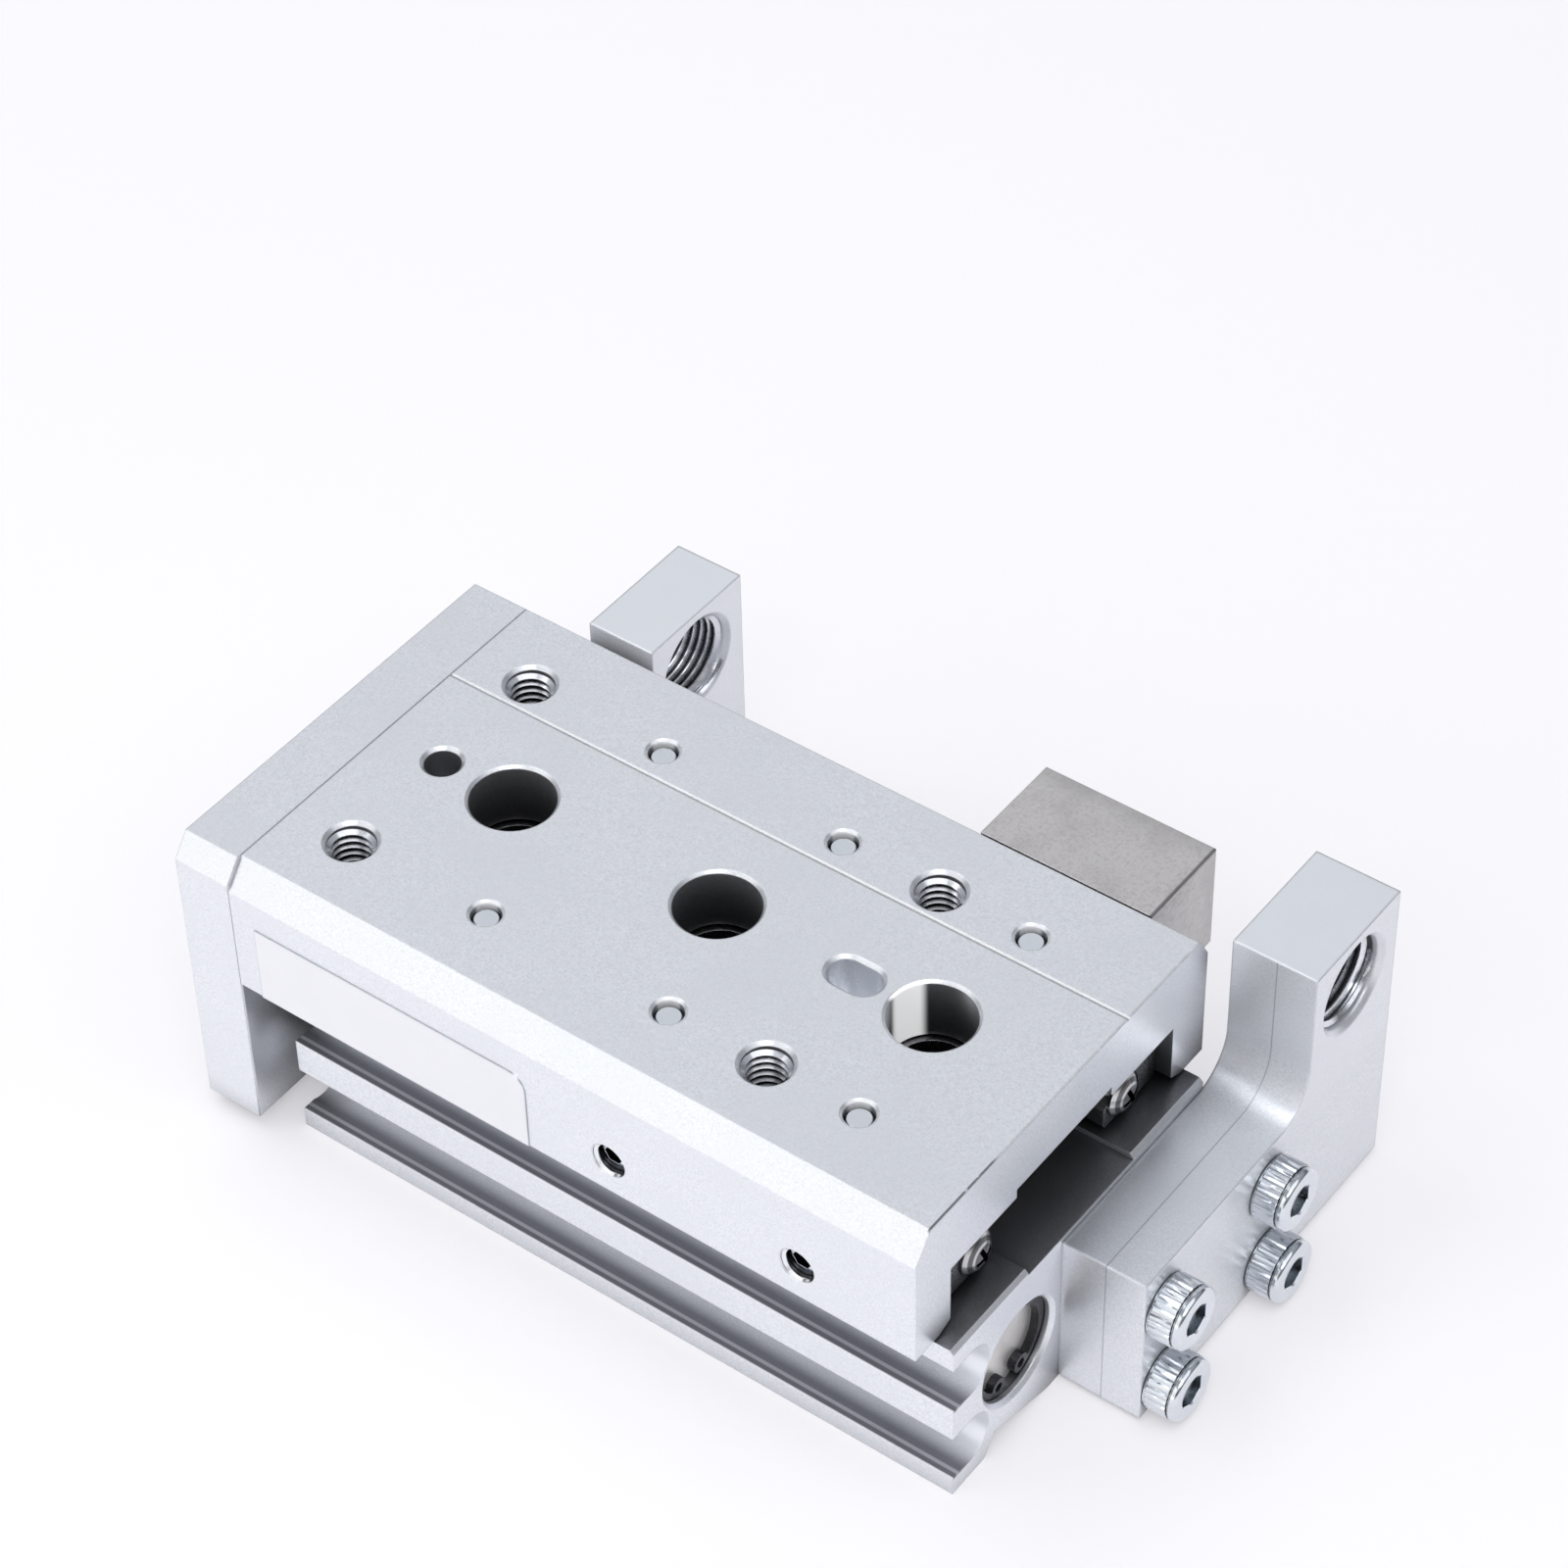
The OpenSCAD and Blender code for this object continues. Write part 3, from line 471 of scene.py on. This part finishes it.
def zinc_plate(name):
    """Bright zinc plate, faintly blue, with soft clouds and painted shade in grooves and sockets.
    """
    f = Finish(name, (0.74, 0.77, 0.81), 1.0, 0.14)
    f.tint(f.ramp(f.noise(1.1, detail=4), 0.45, 0.75), (0.66, 0.73, 0.80), 0.45)
    f.tint(f.ramp(f.noise(0.5, detail=3, offset=7), 0.55, 0.8), (0.90, 0.90, 0.88), 0.4)
    f.scatter(f.noise(0.4, detail=3, offset=1.5), 0.3, 0.7, 0.05)
    f.bump(f.noise(0.3, offset=9), 0.002)
    f.paint_hollow_shade(0.35, 0.92, 0.80, 0.50)
    f.paint_hollow_shade(2.5, 0.9, 0.45, 0.12, colour=(0.03, 0.05, 0.055))
    return f.finish(edge=0.06)


def pan_heads(name):
    """Zinc of the screws at the rails' ends, darkened as painted shade for the table's shade over
    them, with painted shade on the face inside a light edge and a ring left lighter.
    """
    base = (0.62, 0.62, 0.62)
    f = Finish(name, base, 1.0, 0.16)
    lo, hi = box_mm("rail_stop_screws")
    head_r = (hi[2] - lo[2]) / 2
    radius = f.from_near_axis(y=hi[1] - head_r, z=(hi[2] + lo[2]) / 2)
    # Painted shade over the face inside its light edge, with a ring left at the base colour
    rim = f.ramp(radius, head_r - 0.35, head_r - 0.25, 1.0, 0.0)
    f.tint(rim, (0.12, 0.12, 0.125), 0.95)
    ring = f.math("ABSOLUTE", f.math("SUBTRACT", radius, head_r - 0.75))
    f.tint(f.ramp(ring, 0.14, 0.06), base, 0.8)
    f.paint_hollow_shade(0.5, 0.8, 0.7, 0.4)
    f.paint_hollow_shade(6, 0.8, 0.85, 0.25)
    return f.finish(edge=0.05)


def nickel_block(name):
    """Nickel-plated steel with a mottled grain, warmer and darker than the aluminium."""
    f = Finish(name, (0.68, 0.655, 0.645), 1.0, 0.36)
    hi = box_mm("stopper_block")[1]
    brush = f.noise(0.12, stretch=(1, 7, 3), detail=4)
    clouds = f.noise(3.4, stretch=(1, 1.6, 1), detail=3, offset=2)
    mottle = f.noise(0.32, detail=5, rough=0.65, offset=6)
    darker = (0.40, 0.385, 0.38)
    f.tint(f.ramp(brush, 0.42, 0.62), (0.80, 0.775, 0.76), 0.5)
    f.tint(f.ramp(clouds, 0.42, 0.66), (0.54, 0.52, 0.51), 0.45)
    f.tint(f.ramp(mottle, 0.46, 0.66), (0.46, 0.44, 0.435), 0.45)
    f.tint(f.ramp(f.axes["y"], hi[1] - 2.2, hi[1]), darker, 0.35)
    # Painted shade on the faces that look along +x
    f.tint(f.facing("x"), darker, 0.45)
    rim = f.times(f.band("x", hi[0], 0.14, 0.15), f.band("z", hi[2], 0.14, 0.15))
    f.tint(rim, (0.15, 0.145, 0.145), 0.8)
    f.scatter(brush, 0.3, 0.7, 0.08)
    f.bump(brush, 0.005)
    return f.finish(edge=0.12)


def yellow_metal(name, colour, lines):
    """Bearing bronze or cage brass, slightly dulled, with its grain stretched by lines."""
    f = Finish(name, colour, 1.0, 0.32)
    f.tint(f.ramp(f.noise(1.2, detail=4), 0.4, 0.7), scaled(colour, 0.72), 0.6)
    grain = f.noise(0.1, stretch=lines, detail=3, offset=3)
    f.scatter(grain, 0.3, 0.7, 0.07)
    f.bump(grain, 0.004)
    return f.finish(edge=0.05)


def dark_finish(name, colour, roughness, metallic, grain_size):
    """Black phosphate, rubber or sintered magnet."""
    f = Finish(name, colour, metallic, roughness)
    grain = f.noise(grain_size, detail=3)
    f.tint(f.ramp(grain, 0.45, 0.7), [min(1, c * 2.2 + 0.01) for c in colour], 0.5)
    f.scatter(f.noise(1.2, detail=3, offset=4), 0.3, 0.7, 0.08)
    f.bump(grain, 0.008)
    return f.finish(edge=0.05)


# ---- Materials of the CAD solids ----------------------------------------------------------

MATERIALS = {
    "anodised_aluminium": anodised("anodised_aluminium"),
    "cover_aluminium": turned_cover("cover_aluminium"),
    "guide_steel": ground_steel("guide_steel"),
    "zinc_screws": zinc_plate("zinc_screws"),
    "nickel_steel": nickel_block("nickel_steel"),
    "black_spring_steel": dark_finish("black_spring_steel", (0.035, 0.035, 0.04), 0.35, 0.6, 0.2),
    "bearing_bronze": yellow_metal("bearing_bronze", (0.66, 0.50, 0.30), (1, 8, 8)),
    "cage_brass": yellow_metal("cage_brass", (0.74, 0.60, 0.33), (10, 1, 1)),
    "rubber": dark_finish("rubber", (0.03, 0.03, 0.033), 0.6, 0.0, 0.15),
    "magnet": dark_finish("magnet", (0.07, 0.07, 0.08), 0.45, 0.3, 0.3),
    "label_film": blank_film("label_film"),
}
# Nodes whose place on the part gives them marks of their own, painted light and painted shade
# among them
OWN = {
    "table": anodised("anodised_table", table_marks, clear=0.88, shut=0.30),
    "end_plate": anodised("anodised_end_plate", plate_marks),
    "front_holder": anodised("anodised_front_holder", front_holder_marks,
                             clear=0.15, shut=0.0, edge=0.3),
    "rear_holder": anodised("anodised_rear_holder", rear_holder_marks,
                            clear=0.36, shut=0.04, edge=0.3),
    "rail_stop_screws": pan_heads("pan_head_screws"),
    "cylinder_body": anodised("anodised_body", body_marks, clear=0.76, shut=0.05),
    "guide_block": ground_steel("guide_block_steel", darkest=0.8, clear=0.5, shut=0.1),
}
THREAD = cut_thread("cut_thread")

for name, node in NODES.items():
    material = OWN.get(name, MATERIALS[SLOT_OF[name]])
    if not node.material_slots:
        node.data.materials.append(material)
    for place in node.material_slots:
        place.material = material


# ---- Pieces made here ---------------------------------------------------------------------

def solids(node):
    """The boxes (low, high) of a CAD node's separate solids, sorted from low to high place."""
    mesh = NODES[node].data
    parent = {}

    def find(i):
        while parent.setdefault(i, i) != i:
            parent[i] = parent[parent[i]]
            i = parent[i]
        return i

    key = [tuple(round(c, 7) for c in v.co) for v in mesh.vertices]
    for face in mesh.polygons:
        first = find(key[face.vertices[0]])
        for i in face.vertices[1:]:
            parent[find(key[i])] = first
    groups = {}
    for point in set(key):
        groups.setdefault(find(point), []).append(point)
    boxes = [(Vector(map(min, zip(*g))), Vector(map(max, zip(*g)))) for g in groups.values()]
    return sorted(boxes, key=lambda b: tuple(round(c, 5) for c in b[0]))


def piece(name, verts, faces, body, slot, sharp, material=None):
    """A mesh in the CAD's frame that rides on a body and takes a slot's finish.

    Edges sharper than sharp degrees stay sharp."""
    mesh = bpy.data.meshes.new(name)
    mesh.from_pydata(verts, [], faces)
    mesh.validate()
    mesh.shade_smooth()
    mesh.set_sharp_from_angle(angle=math.radians(sharp))
    mesh.materials.append(material or MATERIALS[slot])
    made = bpy.data.objects.new(name, mesh)
    bpy.context.scene.collection.objects.link(made)
    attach(made, body)
    return made


def side_axes(axis):
    """Two axes across an axis, right-handed with it."""
    u = axis.orthogonal().normalized()
    for candidate in (X, Y, Z):
        if abs(candidate.dot(axis)) < 0.5:
            u = candidate
            break
    return u, axis.cross(u)


# ---- Thread ridges ------------------------------------------------------------------------

# Radii and pitch in mm. The adjusters' fine thread is the widest.
M3 = dict(major=1.5, minor=1.24, pitch=0.5)
M4 = dict(major=2.0, minor=1.62, pitch=0.7)
M5 = dict(major=2.5, minor=2.1, pitch=0.8)
ADJUSTER = dict(major=4.0, minor=3.6, pitch=0.72)

TURN_STEPS = 32
# The profile of a ridge: half widths of its foot and crest in pitches, and how many mm the foot is
# sunk in the wall
FOOT, CREST, SUNK = 0.45, 0.07, 0.02
# A ridge rises over the first steps and falls over the last ones, from this share of its height
FADE_STEPS = TURN_STEPS * 0.4
LOWEST = 0.04


def ridge(start, inward, major, minor, pitch, length, verts, faces):
    """Adds an internal thread's helical ridge, from a hole's mouth inwards, to verts and faces."""
    u, v = side_axes(inward)
    count = round(length / pitch * TURN_STEPS)
    first = len(verts)
    foot_r = major + SUNK * MM
    for i in range(count + 1):
        turn = 2 * math.pi * i / TURN_STEPS
        fade = min(1, i / FADE_STEPS, (count - i) / FADE_STEPS)
        crest_r = major - (major - minor) * max(fade, LOWEST)
        out = u * math.cos(turn) + v * math.sin(turn)
        middle = start + inward * (length * i / count)
        for r, z in ((foot_r, -FOOT), (crest_r, -CREST), (crest_r, CREST), (foot_r, FOOT)):
            verts.append(middle + out * r + inward * (z * pitch))
    for i in range(count):
        a, b = first + 4 * i, first + 4 * (i + 1)
        for j in range(4):
            k = (j + 1) % 4
            faces.append((a + j, a + k, b + k, b + j))
    last = first + 4 * count
    faces.append((first + 3, first + 2, first + 1, first))
    faces.append((last, last + 1, last + 2, last + 3))


def threads(name, holes, inward, thread, length, body):
    """The ridges of equal tapped holes, as one piece. Each hole is where its thread begins."""
    verts, faces = [], []
    major, minor, pitch = (thread[key] * MM for key in ("major", "minor", "pitch"))
    for hole in holes:
        ridge(Vector(hole), inward, major, minor, pitch, length * MM, verts, faces)
    piece(name, verts, faces, body, "anodised_aluminium", sharp=25, material=THREAD)


# ---- Knurled cap screws -------------------------------------------------------------------

KNURLS = 28
KNURL_DEPTH = 0.12
AROUND = KNURLS * 3


def lathe(rings, centre, axis, verts, faces):
    """Joins rings of (radius function of the step, height along the axis) into a closed skin."""
    u, v = side_axes(axis)
    first = len(verts)
    for radius, height in rings:
        for i in range(AROUND):
            turn = 2 * math.pi * i / AROUND
            out = u * math.cos(turn) + v * math.sin(turn)
            verts.append(centre + (out * radius(i) + axis * height) * MM)
    for j in range(len(rings) - 1):
        a, b = first + j * AROUND, first + (j + 1) * AROUND
        for i in range(AROUND):
            k = (i + 1) % AROUND
            faces.append((a + i, a + k, b + k, b + i))
    faces.append(tuple(reversed(range(first, first + AROUND))))
    end = first + (len(rings) - 1) * AROUND
    faces.append(tuple(range(end, end + AROUND)))


def knurled_screws(name, node, axis, thread_r, head_r, head_h, socket_af):
    """Cap screws with knurled heads, rounded rims and hexagon sockets, for a CAD node's plain ones.

    The axis runs from thread to head, and socket_af is the socket's width across flats."""
    verts, faces = [], []
    index = max(range(3), key=lambda i: abs(axis[i]))
    outward = axis[index] > 0
    apothem = socket_af / 2
    mouth = apothem * 2 / math.sqrt(3)
    socket_floor = head_h * 0.45

    def even(r):
        return lambda i: r

    def knurl(i):
        return head_r - KNURL_DEPTH * (1 if i % 3 == 2 else 0)

    def hexagon(i):
        side = AROUND / 6
        return apothem / math.cos((((i + side / 2) % side) / side - 0.5) * math.pi / 3)

    for lo, hi in solids(node):
        grip = (hi[index] - lo[index]) / MM - head_h
        seat = (lo + hi) / 2
        seat[index] = hi[index] - head_h * MM if outward else lo[index] + head_h * MM
        # (radius, height over the seat): thread, under the head, knurls, neck, rim, socket
        rings = [
            (even(thread_r - 0.25), -grip), (even(thread_r), 0.25 - grip), (even(thread_r), 0),
            (even(head_r - 0.18), 0), (even(head_r - 0.10), 0.08), (even(head_r - 0.09), 0.22),
            (knurl, 0.30), (knurl, head_h - 0.84),
            (even(head_r - 0.19), head_h - 0.78), (even(head_r - 0.19), head_h - 0.68),
            (even(head_r - 0.05), head_h - 0.60), (even(head_r - 0.06), head_h - 0.36),
            (even(head_r - 0.11), head_h - 0.20), (even(head_r - 0.22), head_h - 0.08),
            (even(head_r - 0.38), head_h - 0.01), (even(head_r - 0.5), head_h),
            (even(mouth + 0.12), head_h), (even(mouth + 0.02), head_h - 0.05),
            (hexagon, head_h - 0.14), (hexagon, socket_floor),
            (even(apothem * 0.92), socket_floor - 0.05), (even(0.12), socket_floor - 0.5),
        ]
        lathe(rings, seat, axis, verts, faces)
    made = piece(name, verts, faces, BODY_OF[node], SLOT_OF[node], sharp=30)
    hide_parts(node)


M3_HEAD = dict(thread_r=1.45, head_r=2.75, head_h=3.0, socket_af=2.5)
M25_HEAD = dict(thread_r=1.2, head_r=2.25, head_h=2.5, socket_af=2.0)
knurled_screws("rear_holder_cap_screws", "rear_holder_screws", X, **M3_HEAD)
knurled_screws("front_holder_cap_screws", "front_holder_screws", Y, **M25_HEAD)
knurled_screws("end_plate_cap_screws", "end_plate_screws", -X, **M3_HEAD)
knurled_screws("stopper_block_cap_screws", "stopper_block_screws", Y, **M3_HEAD)
knurled_screws("guide_block_cap_screws", "guide_block_screws", Z, **M3_HEAD)
knurled_screws("rail_cap_screws", "rail_screws", -Z, **M25_HEAD)
knurled_screws("rod_cap_screws", "rod_screws", -X, **dict(M3_HEAD, thread_r=1.2))


# ---- Threads of the tapped holes ----------------------------------------------------------

# How many mm inside its hole's mouth a thread starts
TAP_START = 0.5
PORT_START = 0.3
SET_SCREW_START = 0.2
ADJUSTER_STARTS = (("rear", -X, 1.0), ("front", X, 0.35))
# How many mm an adjuster's thread ends before the holder's other face
ADJUSTER_SPARE = 0.35


def pattern(mount, along, across, inward):
    """Where the threads start in a rectangular pattern of four holes round its mount's place."""
    middle = Vector(MOUNTS[mount]["pos_m"])
    half_x = MOUNTS[mount]["dims"]["spacing_x_mm"] / 2 * MM
    half_y = MOUNTS[mount]["dims"]["spacing_y_mm"] / 2 * MM
    return [middle + along * sx * half_x + across * sy * half_y + inward * TAP_START * MM
            for sx in (-1, 1) for sy in (-1, 1)]


threads("table_threads", pattern("table_tapped_holes", X, Y, -Z), -Z, M4, 5.6, "slide_table")

for end, inward, smooth in ADJUSTER_STARTS:
    lo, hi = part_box(end + "_holder")
    hole = Vector(MOUNTS[end + "_adjuster_thread"]["pos_m"])
    hole.x = (hi if end == "rear" else lo).x + inward.x * smooth * MM
    threads(end + "_adjuster_threads", [hole], inward, ADJUSTER,
            (hi.x - lo.x) / MM - smooth - ADJUSTER_SPARE, "cylinder")

threads("end_plate_threads", pattern("end_plate_tapped_holes", Y, Z, X), X, M4, 3.3, "slide_table")
for end in ("front", "rear"):
    mouth = Vector(MOUNTS[end + "_air_port"]["pos_m"])
    mouth.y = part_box("cylinder_body")[1].y - PORT_START * MM
    threads(end + "_port_threads", [mouth], -Y, M5, 3.0, "cylinder")

# The set-screw holes in the table's near leg, threaded down to the screws
near_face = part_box("table")[0].y
set_screws = solids("preload_set_screws")
threads("set_screw_threads",
        [Vector(((lo.x + hi.x) / 2, near_face + SET_SCREW_START * MM, (lo.z + hi.z) / 2))
         for lo, hi in set_screws],
        Y, M3, (set_screws[0][0].y - near_face) / MM - SET_SCREW_START, "slide_table")


# ---- Camera and lamps ---------------------------------------------------------------------

def look(aim, azimuth, elevation, distance, roll=0.0):
    """World matrix of something that looks at aim from an azimuth and elevation, in degrees."""
    a, e = math.radians(azimuth), math.radians(elevation)
    back = Vector((math.sin(a) * math.cos(e), -math.cos(a) * math.cos(e), math.sin(e)))
    turn = (-back).to_track_quat("-Z", "Y").to_matrix().to_4x4()
    tilt = Matrix.Rotation(math.radians(roll), 4, "Z")
    return Matrix.Translation(aim + back * distance) @ turn @ tilt


CAMERA_AIM = Vector((-14.29, 27.15, 13.0)) * MM
LAMP_AIM = Vector((0, 0, 0.015))

camera = bpy.data.objects.new("camera", bpy.data.cameras.new("camera"))
camera.data.sensor_width = 36
camera.data.lens = 107
camera.data.clip_start = 0.01
camera.data.clip_end = 20
camera.matrix_world = look(CAMERA_AIM, 37.687, 43.709, 0.3868, -1.498)
bpy.context.scene.collection.objects.link(camera)
bpy.context.scene.camera = camera


def softbox(name, azimuth, elevation, distance, size, power, colour=WHITE):
    """A rectangular lamp: distance and size in metres, power in watts."""
    light = bpy.data.lights.new(name, "AREA")
    light.shape = "RECTANGLE"
    light.size, light.size_y = size
    light.energy = power
    light.color = colour
    made = bpy.data.objects.new(name, light)
    made.matrix_world = look(LAMP_AIM, azimuth, elevation, distance)
    bpy.context.scene.collection.objects.link(made)


softbox("back_left_panel", 228, 45, 1.1, (1.1, 0.8), 1.1)
softbox("front_left_panel", -22, 22, 0.9, (1.25, 0.7), 2.6, (1, 1, 0.965))
softbox("fillet_light", -68, 64, 0.9, (0.5, 0.4), 1.2)
softbox("overhead_right", 80, 62, 1.0, (1.0, 1.0), 2.6)
softbox("behind_camera", 37, 50, 1.0, (0.5, 0.25), 1.4)


# ---- World and floor ----------------------------------------------------------------------

# The sky's tones by height (0 at the horizon, 1 overhead), and its strength
SKY = [(0.0, (0.95, 0.95, 0.96)), (0.12, (0.70, 0.70, 0.72)), (0.22, (0.10, 0.10, 0.11)),
       (0.34, (0.14, 0.14, 0.15)), (0.55, (0.40, 0.415, 0.45))]
SKY_STRENGTH = 0.90

world = bpy.data.worlds.new("studio")
bpy.context.scene.world = world
world.use_nodes = True
nodes, links = world.node_tree.nodes, world.node_tree.links
direction = nodes.new("ShaderNodeTexCoord")
parts = nodes.new("ShaderNodeSeparateXYZ")
links.new(direction.outputs["Generated"], parts.inputs[0])
tone = nodes.new("ShaderNodeValToRGB")
links.new(parts.outputs["Z"], tone.inputs[0])
stops = tone.color_ramp.elements
while len(stops) < len(SKY):
    stops.new(0.5)
for stop, (height, colour) in zip(stops, SKY):
    stop.position = height
    stop.color = (*colour, 1)
links.new(tone.outputs[0], nodes["Background"].inputs["Color"])
nodes["Background"].inputs["Strength"].default_value = SKY_STRENGTH

FLOOR_HALF = 3.0
FLOOR_COLOUR = (0.70, 0.69, 0.70, 1)
# The glow that lifts the floor to white for the camera and in reflections, never on the part
GLOW_COLOUR = (0.97, 0.96, 1, 1)
GLOW_STRENGTH = 0.40

floor_mesh = bpy.data.meshes.new("floor")
corners = [(x * FLOOR_HALF, y * FLOOR_HALF, 0) for x, y in ((-1, -1), (1, -1), (1, 1), (-1, 1))]
floor_mesh.from_pydata(corners, [], [(0, 1, 2, 3)])
floor = bpy.data.objects.new("floor", floor_mesh)
bpy.context.scene.collection.objects.link(floor)
floor_mat = bpy.data.materials.new("floor")
floor_mat.use_nodes = True
nodes, links = floor_mat.node_tree.nodes, floor_mat.node_tree.links
plain = nodes["Principled BSDF"]
plain.inputs["Base Color"].default_value = FLOOR_COLOUR
plain.inputs["Roughness"].default_value = 0.9
plain.inputs["Specular IOR Level"].default_value = 0.1
path = nodes.new("ShaderNodeLightPath")
seen = nodes.new("ShaderNodeMath")
seen.operation = "MAXIMUM"
links.new(path.outputs["Is Camera Ray"], seen.inputs[0])
links.new(path.outputs["Is Glossy Ray"], seen.inputs[1])
lift = nodes.new("ShaderNodeMath")
lift.operation = "MULTIPLY"
lift.inputs[1].default_value = GLOW_STRENGTH
links.new(seen.outputs[0], lift.inputs[0])
glow = nodes.new("ShaderNodeEmission")
glow.inputs["Color"].default_value = GLOW_COLOUR
links.new(lift.outputs[0], glow.inputs["Strength"])
both = nodes.new("ShaderNodeAddShader")
links.new(plain.outputs[0], both.inputs[0])
links.new(glow.outputs[0], both.inputs[1])
links.new(both.outputs[0], nodes["Material Output"].inputs["Surface"])
floor_mesh.materials.append(floor_mat)

bpy.context.scene.view_settings.view_transform = "Standard"
